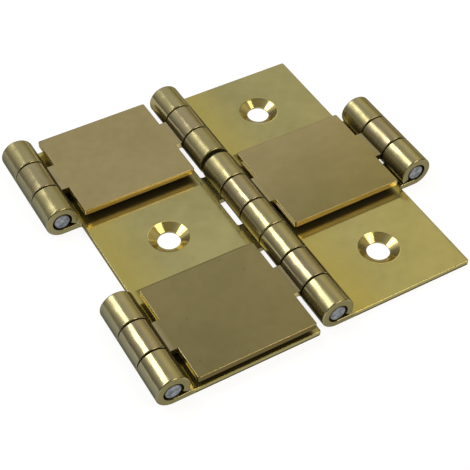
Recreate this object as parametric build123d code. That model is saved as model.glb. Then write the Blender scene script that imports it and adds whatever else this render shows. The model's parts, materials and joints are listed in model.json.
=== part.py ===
from build123d import *
from math import asin, cos, sin, sqrt, tan
import os

os.makedirs("parts", exist_ok=True)

# A double-action folding screen hinge of stamped and rolled brass sheet, lying open and flat.
# Millimetres. X runs across the three hinge axes, Y along the pins, Z up.
# The origin is on the surface that the hinge lies on, below the middle of the centre barrel.

# Driving sizes of the whole hinge
axis_spacing = 25.0
leaf_length = 50.0
sheet_thickness = 1.0
pin_diameter = 3.0

# The leaves
screw_hole_diameter = 3.4
countersink_diameter = 6.0
countersink_land = 0.2
hole_spacing = 16.7

# Clearances
running_clearance = 0.05
knuckle_gap = 0.2
third_gap = 0.4
least_third_gap = 0.04
link_plate_gap = 0.1
seam_gap = 0.12
leaf_edge_clearance = 0.3
link_edge_clearance = 1.05
pin_recess = 0.1

# Small radii of the stamping, the rolling and the tumbling
corner_radius = 0.3
link_crease_radius = 0.5
knuckle_joint_radius = 0.15
knuckle_end_radius = 0.25
curl_tip_radius = 0.2
sheet_edge_radius = 0.12
pin_end_chamfer = 0.35

# The hinge is laid out in three thirds along Y, with as many knuckles in each on every axis
THIRDS = 3
KNUCKLES_PER_THIRD = 3
UPPER = 1
MIDDLE = 0
LOWER = -1

# Points this close together count as the same
SAME_PLACE = 1e-4

# Sizes that follow from those above
pin_radius = pin_diameter / 2
barrel_radius = pin_radius + sheet_thickness
link_bore_radius = pin_radius + running_clearance
third_pitch = (leaf_length + third_gap) / THIRDS
third_width = third_pitch - third_gap
knuckle_pitch = (third_width + knuckle_gap) / KNUCKLES_PER_THIRD
knuckle_width = knuckle_pitch - knuckle_gap
leaf_edge_setback = barrel_radius + leaf_edge_clearance
link_edge_setback = barrel_radius + link_edge_clearance
link_width = third_pitch - link_plate_gap
seam_angle = asin((seam_gap - pin_radius) / barrel_radius)

# The left leaf lies a little towards -Y and the right leaf towards +Y
left_shift = (least_third_gap - third_gap) / 2
right_shift = -left_shift

# In a third, the leaf has the first knuckle and every second one after it, and the link the others
first_offset = (1 - KNUCKLES_PER_THIRD) / 2 * knuckle_pitch
leaf_offsets = [first_offset + i * knuckle_pitch for i in range(0, KNUCKLES_PER_THIRD, 2)]
link_offsets = [first_offset + i * knuckle_pitch for i in range(1, KNUCKLES_PER_THIRD, 2)]


def edges_along_y_at(shape, x, z):
    """The edges that run along Y through a point of the XZ plane."""
    return [
        edge
        for edge in shape.edges().filter_by(Axis.Y)
        if abs(edge.center().X - x) < SAME_PLACE and abs(edge.center().Z - z) < SAME_PLACE
    ]


def between_axes(edges):
    """The edges of a leaf's plate that don't lie where the plate ends inside its knuckles."""
    return edges.filter_by_position(Axis.X, SAME_PLACE, axis_spacing - SAME_PLACE)


def rounded_barrel(low_end_radius, high_end_radius):
    """One knuckle's length of solid barrel about the Y axis, with its -Y and +Y rims rounded."""
    bar = Rot(90, 0, 0) * Cylinder(barrel_radius, knuckle_width)
    bar = fillet(bar.edges().filter_by(GeomType.CIRCLE).sort_by(Axis.Y)[0], low_end_radius)
    return fillet(bar.edges().filter_by(GeomType.CIRCLE).sort_by(Axis.Y)[-1], high_end_radius)


def bore(radius):
    """The tool for a hole through one knuckle, about the Y axis."""
    return Rot(90, 0, 0) * Cylinder(radius, knuckle_width)


def leaf_knuckle(low_end_radius, high_end_radius):
    """A knuckle rolled from a leaf's sheet, about the Y axis, with the sheet leaving towards +X.

    The sheet comes in along the bottom, goes round the -X side and over the top, and its cut
    end stops short of the sheet by a seam. The stretch between seam and sheet stays open.
    """
    reach = 2 * barrel_radius
    seam_end = (reach, reach * tan(seam_angle))
    open_side = Polyline((0, 0), seam_end, (reach, -reach), (0, -reach), close=True)
    opening = extrude(Plane.XZ * make_face(open_side), knuckle_width, both=True)
    curl = rounded_barrel(low_end_radius, high_end_radius) - opening
    tip = edges_along_y_at(curl, barrel_radius * cos(seam_angle), barrel_radius * sin(seam_angle))
    return fillet(tip, curl_tip_radius) - bore(pin_radius)


def leaf_outline():
    """A leaf's flat blank from axis to axis, seen from above, with the first axis at x = 0."""
    outline = Pos(axis_spacing / 2, 0) * Rectangle(axis_spacing - 2 * leaf_edge_setback, leaf_length)
    stem = Rectangle(2 * leaf_edge_setback, knuckle_width)
    for offset in leaf_offsets:
        for third in (UPPER, LOWER):
            outline += Pos(leaf_edge_setback, third * third_pitch + offset) * stem
        outline += Pos(axis_spacing - leaf_edge_setback, offset) * stem
    return outline


def screw_hole():
    """The tool for one countersunk screw hole, with the sheet's underside at z = 0."""
    cone_depth = sheet_thickness - countersink_land
    drill = Cylinder(screw_hole_diameter / 2, 3 * sheet_thickness)
    cone = Cone(screw_hole_diameter / 2, countersink_diameter / 2, cone_depth)
    return drill + Pos(0, 0, countersink_land + cone_depth / 2) * cone


def leaf(first_axis_x, shift_y):
    """One leaf: a countersunk plate with knuckles on its first axis in the outer thirds and on
    its second axis in the middle third."""
    plate = extrude(leaf_outline(), sheet_thickness)
    plate = fillet(between_axes(plate.edges().filter_by(Axis.Z)), corner_radius)
    plate = fillet(between_axes(plate.faces().sort_by(Axis.Z)[-1].edges()), sheet_edge_radius)
    plate = fillet(between_axes(plate.faces().sort_by(Axis.Z)[0].edges()), knuckle_end_radius)
    for third in (UPPER, MIDDLE, LOWER):
        plate -= Pos(axis_spacing / 2, third * hole_spacing, 0) * screw_hole()
    knuckles = [
        leaf_knuckle(knuckle_end_radius, knuckle_joint_radius),
        leaf_knuckle(knuckle_joint_radius, knuckle_end_radius),
    ]
    turned_knuckles = [Rot(0, 0, 180) * knuckle for knuckle in reversed(knuckles)]
    for offset, knuckle, turned_knuckle in zip(leaf_offsets, knuckles, turned_knuckles):
        for third in (UPPER, LOWER):
            plate += Pos(0, third * third_pitch + offset, barrel_radius) * knuckle
        plate += Pos(axis_spacing, offset, barrel_radius) * turned_knuckle
    return Pos(first_axis_x, shift_y, 0) * plate


def link_knuckle():
    """A knuckle rolled on the end of a link's tab, about the Y axis, with the tab towards +X.

    The tab meets the barrel at the height of its axis. A crease is formed below the tab, and the
    sheet's cut end comes down on the tab from above and leaves a fine seam.
    """
    tab_length = link_edge_setback + corner_radius
    tab = Pos(tab_length / 2, 0, 0) * Box(tab_length, knuckle_width, sheet_thickness)
    crease_x = sqrt(barrel_radius**2 - (sheet_thickness / 2) ** 2)
    knuckle = rounded_barrel(knuckle_joint_radius, knuckle_joint_radius) + tab
    knuckle = fillet(edges_along_y_at(knuckle, crease_x, -sheet_thickness / 2), link_crease_radius)
    seam = Box(2 * barrel_radius, knuckle_width, seam_gap)
    knuckle -= Pos(barrel_radius, 0, (sheet_thickness + seam_gap) / 2) * seam
    return knuckle - bore(link_bore_radius)


def link(first_axis_x, third):
    """One link: a plate at the height of the axes, with a rolled knuckle at each end. Each
    knuckle is as far along Y as the leaf that it turns in. The plates are so wide that the
    three lie close side by side when the hinge is folded."""
    plate = Box(axis_spacing - 2 * link_edge_setback, link_width, sheet_thickness)
    plate = fillet(plate.edges().filter_by(Axis.Z), corner_radius)
    plate = fillet(plate.faces().filter_by(Axis.Z).edges(), sheet_edge_radius)
    plate = Pos(axis_spacing / 2, 0, 0) * plate
    for offset in link_offsets:
        plate += Pos(0, offset + left_shift, 0) * link_knuckle()
        plate += Pos(axis_spacing, offset + right_shift, 0) * Rot(0, 0, 180) * link_knuckle()
    return Pos(first_axis_x, third * third_pitch, barrel_radius) * plate


def pin(axis_x, third, shift_y):
    """One steel pin through the knuckles of one third of an axis, a little short at both ends."""
    bar = Cylinder(pin_radius, third_width - 2 * pin_recess)
    bar = Rot(90, 0, 0) * chamfer(bar.edges().filter_by(GeomType.CIRCLE), pin_end_chamfer)
    return Pos(axis_x, third * third_pitch + shift_y, barrel_radius) * bar


left_axis = -axis_spacing
centre_axis = 0
right_axis = axis_spacing

pieces = {
    "left_leaf": leaf(left_axis, left_shift),
    "right_leaf": leaf(centre_axis, right_shift),
    "upper_left_link": link(left_axis, UPPER),
    "lower_left_link": link(left_axis, LOWER),
    "right_link": link(centre_axis, MIDDLE),
    "left_upper_pin": pin(left_axis, UPPER, left_shift),
    "left_lower_pin": pin(left_axis, LOWER, left_shift),
    "centre_middle_pin": pin(centre_axis, MIDDLE, left_shift),
    "centre_upper_pin": pin(centre_axis, UPPER, right_shift),
    "centre_lower_pin": pin(centre_axis, LOWER, right_shift),
    "right_middle_pin": pin(right_axis, MIDDLE, right_shift),
}

for name, shape in pieces.items():
    export_step(shape, f"parts/{name}.step")
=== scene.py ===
import json
from math import cos, pi, radians, sin

import bmesh
import bpy
from mathutils import Matrix, Vector

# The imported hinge, which gets its finishes, floor, light and camera here
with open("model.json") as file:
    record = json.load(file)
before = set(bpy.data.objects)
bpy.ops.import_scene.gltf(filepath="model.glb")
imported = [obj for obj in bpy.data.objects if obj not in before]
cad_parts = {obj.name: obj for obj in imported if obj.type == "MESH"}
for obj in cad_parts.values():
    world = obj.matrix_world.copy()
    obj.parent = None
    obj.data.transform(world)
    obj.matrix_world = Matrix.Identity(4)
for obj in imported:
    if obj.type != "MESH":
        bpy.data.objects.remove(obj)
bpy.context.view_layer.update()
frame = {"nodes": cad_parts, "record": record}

MM = 0.001

# The hinge's layout, as far as the finishes follow it
AXIS_SPACING = 25.0 * MM
HOLE_SPACING = 16.7 * MM
THIRD_EDGE = 8.4 * MM
LEAF_END = 25.0 * MM
SHEET_THICKNESS = 1.0 * MM
COUNTERSINK_RADIUS = 3.0 * MM
BARREL_RADIUS = 2.5 * MM
PIN_RADIUS = 1.5 * MM

# The size of each noise's largest features, and how much finer detail it has
CLOUD_NOISE = (7.0 * MM, 3.0)
PATCH_NOISE = (1.6 * MM, 4.0)
WAVE_NOISE = (6.0 * MM, 1.0)
RIPPLE_NOISE = (3.0 * MM, 1.0)
PEEL_NOISE = (0.25 * MM, 2.0)
TEAR_NOISE = (0.7 * MM, 3.0)
NOISE_ROUGHNESS = 0.55

# How deep each relief is
WAVE_DEPTH = 0.02 * MM
RIPPLE_DEPTH = 0.07 * MM
PEEL_DEPTH = 0.0007 * MM
RING_DEPTH = 0.006 * MM
TEAR_DEPTH = 0.12 * MM

# The pits' mean spacing, and half the spacing of the cutter's rings
PIT_SPACING = 1.5 * MM
HALF_RING = 0.08 * MM

# The colours both brasses share; the grey is a painted floor reflection on the outer barrels
PAINTED_FLOOR_GREY = "#83806A"
SHEARED_END = "#857E5A"
GLANCING_TINT = "#8C8C8C"

# The colours only the leaves have; the brown is painted shade below and beside link plates
RUBBED_YELLOW = "#B4A24A"
PAINTED_SHADE_BROWN = "#4A3E22"
CLEAN_CUT = "#C4B474"

# The colours of the pins
TORN_STEEL = "#5E6266"
BRIGHT_STEEL = "#969A9E"
RIM_DIRT = "#403B30"

# The studio, in metres. The paper's glow is the share of it that stays white whatever the light
FLOOR_SIZE = 3.0
LAMP_DISTANCE = 0.6
PAPER_GLOW = 0.8
PAPER_WHITE = "#F6F6F4"
TENT_WHITE = "#EDEDED"
TENT_WARM_WHITE = "#FFF7D6"

# The tent is shaded in turn low down, at the top, on the left, in front, at the far end and at
# the right-hand end. A shade has the axis along which the light changes, from where to where it
# does so in the direction looked at, and its level before and after
TENT_SHADES = (
    ("Z", 0.05, 0.60, 0.28, 1.06),
    ("Z", 0.74, 0.88, 1.0, 0.55),
    ("X", -0.85, -0.50, 0.55, 1.0),
    ("Y", -0.25, 0.35, 0.4, 1.0),
    ("Y", 0.72, 0.86, 1.0, 0.3),
    ("X", 0.83, 0.89, 1.0, 0.3),
)
# A bright line at the horizon, where the white table ends
HORIZON_LINE = (0.10, 0.03, 0.0, 1.2)
# How far to the right of straight ahead the light turns warm
WARM_SIDE = (-0.16, -0.05)

# The numbers of a Mix node's two colour inputs
MIX_A = 6
MIX_B = 7


def linear(hex_colour):
    """An sRGB hex colour as the linear RGBA that a socket takes."""
    channels = [int(hex_colour[i : i + 2], 16) / 255 for i in (1, 3, 5)]
    return [c / 12.92 if c <= 0.04045 else ((c + 0.055) / 1.055) ** 2.4 for c in channels] + [1.0]


def add(tree, kind, inputs=(), **settings):
    """Adds a node with its settings. The inputs are listed in order, or given by name or number.
    Each is a value, an output to link, or a node that stands for its first output in use."""
    made = tree.nodes.new(kind)
    for name, value in settings.items():
        setattr(made, name, value)
    listed = inputs if isinstance(inputs, dict) else dict(enumerate(inputs))
    for key, value in listed.items():
        if isinstance(value, bpy.types.Node):
            value = next(output for output in value.outputs if output.enabled)
        if isinstance(value, bpy.types.NodeSocket):
            tree.links.new(value, made.inputs[key])
        else:
            made.inputs[key].default_value = value
    return made


def where_all(tree, *masks):
    """The mask of where all of these masks hold, dimmed by any numbers among them."""
    product = masks[0]
    for mask in masks[1:]:
        product = add(tree, "ShaderNodeMath", [product, mask], operation="MULTIPLY")
    return product


def coated(tree, colour, coats):
    """A colour below coats of others, each with the mask of where it covers what is below."""
    for mask, coat in coats:
        mixed = {"Factor": mask, MIX_A: colour, MIX_B: coat}
        colour = add(tree, "ShaderNodeMix", mixed, data_type="RGBA")
    return colour


def new_material(name):
    """A material and its empty node tree."""
    material = bpy.data.materials.new(name)
    material.use_nodes = True
    material.node_tree.nodes.clear()
    return material, material.node_tree


def object_place(tree):
    """The object coordinates, also split into X, Y and Z."""
    place = add(tree, "ShaderNodeTexCoord").outputs["Object"]
    split = add(tree, "ShaderNodeSeparateXYZ", [place]).outputs
    return place, split["X"], split["Y"], split["Z"]


def distance(tree, across, along):
    """How far off a point is that lies this far across and this far along."""
    square = add(tree, "ShaderNodeMath", [across, across], operation="MULTIPLY")
    squares = add(tree, "ShaderNodeMath", [along, along, square], operation="MULTIPLY_ADD")
    return add(tree, "ShaderNodeMath", [squares], operation="SQRT")


def from_axis(tree, x):
    """The distance along X from the nearest of the three hinge axes."""
    return add(tree, "ShaderNodeMath", [x, AXIS_SPACING / 2], operation="PINGPONG")


def from_hole(tree, x, y):
    """The distance from the middle of the nearest screw hole."""
    off_centre = add(tree, "ShaderNodeMath", [x], operation="ABSOLUTE")
    across = add(tree, "ShaderNodeMath", [off_centre, AXIS_SPACING / 2], operation="SUBTRACT")
    along = add(tree, "ShaderNodeMath", [y, HOLE_SPACING / 2], operation="PINGPONG")
    return distance(tree, across, along)


def covered_by_link(tree, x, y, z):
    """Where a leaf's upper face lies below a link plate or up to 1.6 mm beside one: the right
    leaf in its middle third, and the left leaf in the outer ones."""
    off_middle = add(tree, "ShaderNodeMath", [y], operation="ABSOLUTE")
    inwards = add(tree, "ShaderNodeMath", [THIRD_EDGE, off_middle], operation="SUBTRACT")
    side = add(tree, "ShaderNodeMath", [x], operation="SIGN")
    inwards = add(tree, "ShaderNodeMath", [inwards, side], operation="MULTIPLY")
    in_third = add(tree, "ShaderNodeMapRange", [inwards, -1.60 * MM, -1.48 * MM])
    plate_end = [BARREL_RADIUS + 1.0 * MM, BARREL_RADIUS + 1.6 * MM]
    off_barrel = add(tree, "ShaderNodeMapRange", [from_axis(tree, x), *plate_end])
    mid_sheet = [0.4 * SHEET_THICKNESS, 0.6 * SHEET_THICKNESS]
    upper_face = add(tree, "ShaderNodeMapRange", [z, *mid_sheet])
    return where_all(tree, in_third, off_barrel, upper_face)


def rubbed_yellow(tree, x):
    """The left side of each leaf, up to 10 mm from its axis, rubbed to a stronger yellow."""
    from_left = add(tree, "ShaderNodeMath", [x, AXIS_SPACING], operation="FLOORED_MODULO")
    return add(tree, "ShaderNodeMapRange", [from_left, 10 * MM, 4 * MM, 0.0, 0.55])


def countersinks(tree, x, y, z):
    """The countersinks, above the sheet's underside, and the rings that the cutter left there,
    0.16 mm apart."""
    radius = from_hole(tree, x, y)
    rim = [COUNTERSINK_RADIUS + 0.02 * MM, COUNTERSINK_RADIUS - 0.04 * MM]
    inside = add(tree, "ShaderNodeMapRange", [radius, *rim])
    above = add(tree, "ShaderNodeMapRange", [z, 0.05 * MM, 0.15 * MM])
    cut = where_all(tree, inside, above)
    rings = add(tree, "ShaderNodeMath", [radius, HALF_RING], operation="PINGPONG")
    rings = add(tree, "ShaderNodeMath", [rings, HALF_RING], operation="DIVIDE")
    return cut, where_all(tree, rings, cut)


def pitted(tree, place, patches):
    """Pits of 0.3 mm, where the tumbling media struck or dirt stayed."""
    cells = add(tree, "ShaderNodeTexVoronoi", {"Vector": place, "Scale": 1 / PIT_SPACING})
    pits = add(tree, "ShaderNodeMapRange", [cells.outputs["Distance"], 0.10, 0.05])
    return where_all(tree, pits, add(tree, "ShaderNodeMapRange", [patches, 0.52, 0.60, 0.0, 0.35]))


def tumbled_brass(
    name,
    sheet_colours,
    barrel,
    edge,
    cloudiness,
    near_tarnish,
    near_end_stain,
    torn_below,
    roughness,
    countersunk,
):
    """Yellow brass sheet (CuZn37), rolled, stamped and then tumbled: a soft mirror with a faint
    orange peel, cloudy patches of thin tarnish and a few pits. Countersinks are cut bright.

    The sheet's colours are the bright, the tarnished and the stained one, and barrel and edge are
    the colours of the rolled knuckles and the stamped edges. Cloudiness is how far the tarnish
    varies to either side of half, and near tarnish how much more of it there is towards -Y. Near
    end stain is how dark the edges are at the -Y end, and torn below is the height, in metres,
    below which they are torn.
    """
    bright, tarnished, stained = [linear(colour) for colour in sheet_colours]
    material, tree = new_material(name)
    place, x, y, z = object_place(tree)
    normal = add(tree, "ShaderNodeTexCoord").outputs["Normal"]
    facing = add(tree, "ShaderNodeSeparateXYZ", [normal]).outputs
    noises = []
    for size, detail in (CLOUD_NOISE, PATCH_NOISE, WAVE_NOISE, RIPPLE_NOISE, PEEL_NOISE):
        inputs = {"Vector": place, "Scale": 1 / size, "Detail": detail, "Roughness": NOISE_ROUGHNESS}
        noises.append(add(tree, "ShaderNodeTexNoise", inputs))
    clouds, patches, waves, ripples, peel = noises
    barrel_foot = [BARREL_RADIUS + 0.7 * MM, BARREL_RADIUS + 0.1 * MM]
    on_barrel = add(tree, "ShaderNodeMapRange", [from_axis(tree, x), *barrel_foot])
    on_plate = add(tree, "ShaderNodeMath", [1.0, on_barrel], operation="SUBTRACT")

    # Clouds of tarnish, broken up by patches
    patchy = add(tree, "ShaderNodeMath", [patches, 0.35], operation="MULTIPLY")
    tarnish = add(tree, "ShaderNodeMath", [clouds, 0.65, patchy], operation="MULTIPLY_ADD")
    levels = [0.5 - cloudiness, 0.5 + cloudiness]
    tarnish = add(tree, "ShaderNodeMapRange", [tarnish, 0.36, 0.64, *levels])
    nearness = add(tree, "ShaderNodeMapRange", [y, 8 * MM, -8 * MM, -near_tarnish, near_tarnish])
    on_sheet = add(tree, "ShaderNodeMath", [tarnish, nearness], operation="ADD")
    rolled = coated(tree, linear(barrel), [(where_all(tree, tarnish, 0.6), tarnished)])

    # On the outer barrels' downward sloping outer sides, grey is a painted reflection of the floor
    off_centre = add(tree, "ShaderNodeMath", [x], operation="ABSOLUTE")
    outer_side = add(tree, "ShaderNodeMapRange", [off_centre, AXIS_SPACING, AXIS_SPACING + 1 * MM])
    sloping = add(tree, "ShaderNodeMapRange", [facing["Z"], 0.75, 0.45])
    painted_floor_reflection = where_all(tree, sloping, outer_side)

    # The sheared ends of the knuckles are duller
    endways = add(tree, "ShaderNodeMath", [facing["Y"]], operation="ABSOLUTE")
    endways = add(tree, "ShaderNodeMapRange", [endways, 0.8, 0.95])
    sheared = where_all(tree, endways, on_barrel)

    # The stamped edges are burnished above and torn and dark near the lower side of the sheet
    level = add(tree, "ShaderNodeMath", [facing["Z"]], operation="ABSOLUTE")
    upright = add(tree, "ShaderNodeMapRange", [level, 0.5, 0.2])
    upright = where_all(tree, upright, on_plate)
    near_end = add(tree, "ShaderNodeMapRange", [y, 1.5 * MM - LEAF_END, 0.5 * MM - LEAF_END])
    stained_end = where_all(tree, near_end, near_end_stain, upright)
    torn = add(tree, "ShaderNodeMapRange", [z, torn_below, torn_below - 0.3 * MM])
    torn_edge = where_all(tree, torn, upright)

    # The coats go on in this order, and the barrels are rougher where the clouds are thick
    sheet = coated(tree, bright, [(on_sheet, tarnished)])
    coats = [
        (on_barrel, rolled),
        (painted_floor_reflection, linear(PAINTED_FLOOR_GREY)),
        (sheared, linear(SHEARED_END)),
        (pitted(tree, place, patches), stained),
        (upright, linear(edge)),
        (stained_end, stained),
        (torn_edge, stained),
    ]
    worn = add(tree, "ShaderNodeMapRange", [clouds, 0.42, 0.62, -0.02, 0.10])
    rougher = [(where_all(tree, worn, on_barrel), 1.0)]
    reliefs = [(where_all(tree, ripples, on_barrel), RIPPLE_DEPTH), (peel, PEEL_DEPTH)]

    if countersunk:
        # Below and just beside the link plates: a rougher sheet, and painted shade in brown
        covered = covered_by_link(tree, x, y, z)
        painted_shade = where_all(tree, covered, 0.6)
        marks = [(rubbed_yellow(tree, x), linear(RUBBED_YELLOW)), (painted_shade, linear(PAINTED_SHADE_BROWN))]
        sheet = coated(tree, sheet, marks)
        rougher.append((where_all(tree, covered, on_plate), 0.2))

        # The countersinks are clean and smooth metal
        cut, rings = countersinks(tree, x, y, z)
        coats.append((cut, linear(CLEAN_CUT)))
        rougher.append((cut, -0.10))
        reliefs.append((rings, RING_DEPTH))

    colour = coated(tree, sheet, coats)
    rough = add(tree, "ShaderNodeMapRange", [patches, 0.3, 0.7, roughness - 0.03, roughness + 0.03])
    for mask, change in rougher:
        rough = add(tree, "ShaderNodeMath", [mask, change, rough], operation="MULTIPLY_ADD")
    relief = add(tree, "ShaderNodeBump", {"Height": waves, "Distance": WAVE_DEPTH})
    for height, depth in reliefs:
        inputs = {"Height": height, "Distance": depth, "Normal": relief}
        relief = add(tree, "ShaderNodeBump", inputs)

    inputs = {"Base Color": colour, "Metallic": 0.92, "Roughness": rough, "Normal": relief}
    inputs["Specular Tint"] = linear(GLANCING_TINT)
    metal = add(tree, "ShaderNodeBsdfPrincipled", inputs)
    add(tree, "ShaderNodeOutputMaterial", {"Surface": metal})
    return material


def cropped_steel_wire():
    """Drawn steel wire, cropped to length: grey, with a torn end and dirt round its rim."""
    material, tree = new_material("cropped_steel_wire")
    place, x, _, z = object_place(tree)
    size, detail = TEAR_NOISE
    inputs = {"Vector": place, "Scale": 1 / size, "Detail": detail, "Roughness": NOISE_ROUGHNESS}
    tears = add(tree, "ShaderNodeTexNoise", inputs)
    bright = add(tree, "ShaderNodeMapRange", [tears, 0.35, 0.65])
    up = add(tree, "ShaderNodeMath", [z, BARREL_RADIUS], operation="SUBTRACT")
    radius = distance(tree, from_axis(tree, x), up)
    rim = add(tree, "ShaderNodeMapRange", [radius, PIN_RADIUS - 0.5 * MM, PIN_RADIUS - 0.3 * MM])
    coats = [(bright, linear(BRIGHT_STEEL)), (rim, linear(RIM_DIRT))]
    colour = coated(tree, linear(TORN_STEEL), coats)
    relief = add(tree, "ShaderNodeBump", {"Height": tears, "Distance": TEAR_DEPTH})
    inputs = {"Base Color": colour, "Metallic": 1.0, "Roughness": 0.4, "Normal": relief}
    metal = add(tree, "ShaderNodeBsdfPrincipled", inputs)
    add(tree, "ShaderNodeOutputMaterial", {"Surface": metal})
    return material


def white_paper():
    """Matt white paper that stays white to the camera and in reflections, with a soft shadow."""
    material, tree = new_material("matt_white_paper")
    matt = add(tree, "ShaderNodeBsdfDiffuse", {"Color": linear(PAPER_WHITE)})
    glow = add(tree, "ShaderNodeEmission", {"Color": linear("#FFFFFF"), "Strength": 1.1})
    rays = add(tree, "ShaderNodeLightPath").outputs
    seen = rays["Is Camera Ray"]
    for ray in (rays["Is Glossy Ray"], rays["Is Transmission Ray"]):
        seen = add(tree, "ShaderNodeMath", [seen, ray], operation="ADD")
    seen = add(tree, "ShaderNodeMath", [seen, 1.0], operation="MINIMUM")
    share = where_all(tree, seen, PAPER_GLOW)
    paper = add(tree, "ShaderNodeMixShader", [share, matt, glow])
    add(tree, "ShaderNodeOutputMaterial", {"Surface": paper})
    return material


def white_tent():
    """A world like a white tent round the hinge, shaded, and warmer on the right."""
    world = bpy.data.worlds.new("studio")
    world.use_nodes = True
    tree = world.node_tree
    tree.nodes.clear()
    direction = add(tree, "ShaderNodeTexCoord").outputs["Generated"]
    towards = add(tree, "ShaderNodeSeparateXYZ", [direction]).outputs
    shades = [add(tree, "ShaderNodeMapRange", [towards[axis], *span]) for axis, *span in TENT_SHADES]
    line = add(tree, "ShaderNodeMapRange", [towards["Z"], *HORIZON_LINE])
    level = add(tree, "ShaderNodeMath", [where_all(tree, *shades), line], operation="ADD")
    rightness = add(tree, "ShaderNodeMath", [towards["X"], towards["Y"]], operation="SUBTRACT")
    warm = add(tree, "ShaderNodeMapRange", [rightness, *WARM_SIDE])
    tint = coated(tree, linear(TENT_WHITE), [(warm, linear(TENT_WARM_WHITE))])
    tent = add(tree, "ShaderNodeBackground", {"Color": tint, "Strength": level})
    add(tree, "ShaderNodeOutputWorld", {"Surface": tent})
    return world


def softbox(name, azimuth, elevation, turn, width, height, radiance, colour):
    """A rectangular lamp that faces the hinge. Azimuth turns from +Y towards +X. Width lies level
    before the lamp is turned about its own axis. Angles are in degrees."""
    lamp = bpy.data.lights.new(name, "AREA")
    lamp.shape = "RECTANGLE"
    lamp.size = width
    lamp.size_y = height
    lamp.energy = radiance * pi * width * height
    lamp.color = linear(colour)[:3]
    holder = bpy.data.objects.new(name, lamp)
    a, e = radians(azimuth), radians(elevation)
    towards = Vector((sin(a) * cos(e), cos(a) * cos(e), sin(e)))
    facing = towards.to_track_quat("Z", "Y").to_matrix().to_4x4()
    turned = Matrix.Rotation(radians(turn), 4, "Z")
    holder.matrix_world = Matrix.Translation(towards * LAMP_DISTANCE) @ facing @ turned
    holder.visible_camera = False
    bpy.context.scene.collection.objects.link(holder)


finishes = {
    "leaf_brass": tumbled_brass(
        "tumbled_yellow_brass",
        sheet_colours=("#B0A871", "#978E5F", "#3A2E16"),
        barrel="#A0966F",
        edge="#A69E6B",
        cloudiness=0.18,
        near_tarnish=-0.15,
        near_end_stain=0.0,
        torn_below=0.6 * MM,
        roughness=0.18,
        countersunk=True,
    ),
    "link_brass": tumbled_brass(
        "tarnished_yellow_brass",
        sheet_colours=("#A29368", "#7E744B", "#241909"),
        barrel="#A29675",
        edge="#C6B47C",
        cloudiness=0.12,
        near_tarnish=0.3,
        near_end_stain=0.75,
        torn_below=2.1 * MM,
        roughness=0.16,
        countersunk=False,
    ),
    "pin_steel": cropped_steel_wire(),
}
for part in frame["record"]["subparts"]:
    node = frame["nodes"][part["node"]]
    node.data.materials.clear()
    node.data.materials.append(finishes[part["material_slot"]])

# The floor
bm = bmesh.new()
bmesh.ops.create_grid(bm, x_segments=1, y_segments=1, size=FLOOR_SIZE)
floor_mesh = bpy.data.meshes.new("floor")
bm.to_mesh(floor_mesh)
bm.free()
floor_mesh.materials.append(white_paper())
floor = bpy.data.objects.new("floor", floor_mesh)
bpy.context.scene.collection.objects.link(floor)

bpy.context.scene.world = white_tent()

# The stripe runs from the barrels' highlights to the right-hand sides of the countersinks
softbox(
    "stripe_light",
    azimuth=-47.0,
    elevation=51.0,
    turn=-21.0,
    width=0.42,
    height=0.16,
    radiance=6.0,
    colour="#FFFFFF",
)
# The front lamp lights the near edges and the far sides of the countersinks
softbox(
    "front_light",
    azimuth=142.0,
    elevation=51.0,
    turn=0.0,
    width=0.28,
    height=0.2,
    radiance=6.5,
    colour="#FFF1DC",
)

# The camera, as fitted to the photograph: a long lens from the near left, above
CAMERA_AZIMUTH = radians(30.98)
CAMERA_ELEVATION = radians(47.29)
CAMERA_ROLL = radians(1.23)
CAMERA_DISTANCE = 169.29 * MM
CAMERA_TARGET = Vector((-3.653, -3.721, 0.0)) * MM
camera_data = bpy.data.cameras.new("camera")
camera_data.sensor_width = 36.0
camera_data.lens = 90.01
camera_data.clip_start = 0.01
camera_data.clip_end = 10.0
camera = bpy.data.objects.new("camera", camera_data)
bpy.context.scene.collection.objects.link(camera)
bpy.context.scene.camera = camera
back = Vector(
    (
        -sin(CAMERA_AZIMUTH) * cos(CAMERA_ELEVATION),
        -cos(CAMERA_AZIMUTH) * cos(CAMERA_ELEVATION),
        sin(CAMERA_ELEVATION),
    )
)
aimed = back.to_track_quat("Z", "Y").to_matrix().to_4x4()
roll = Matrix.Rotation(CAMERA_ROLL, 4, "Z")
camera.matrix_world = Matrix.Translation(CAMERA_TARGET + back * CAMERA_DISTANCE) @ aimed @ roll
bpy.context.scene.view_settings.view_transform = "Standard"
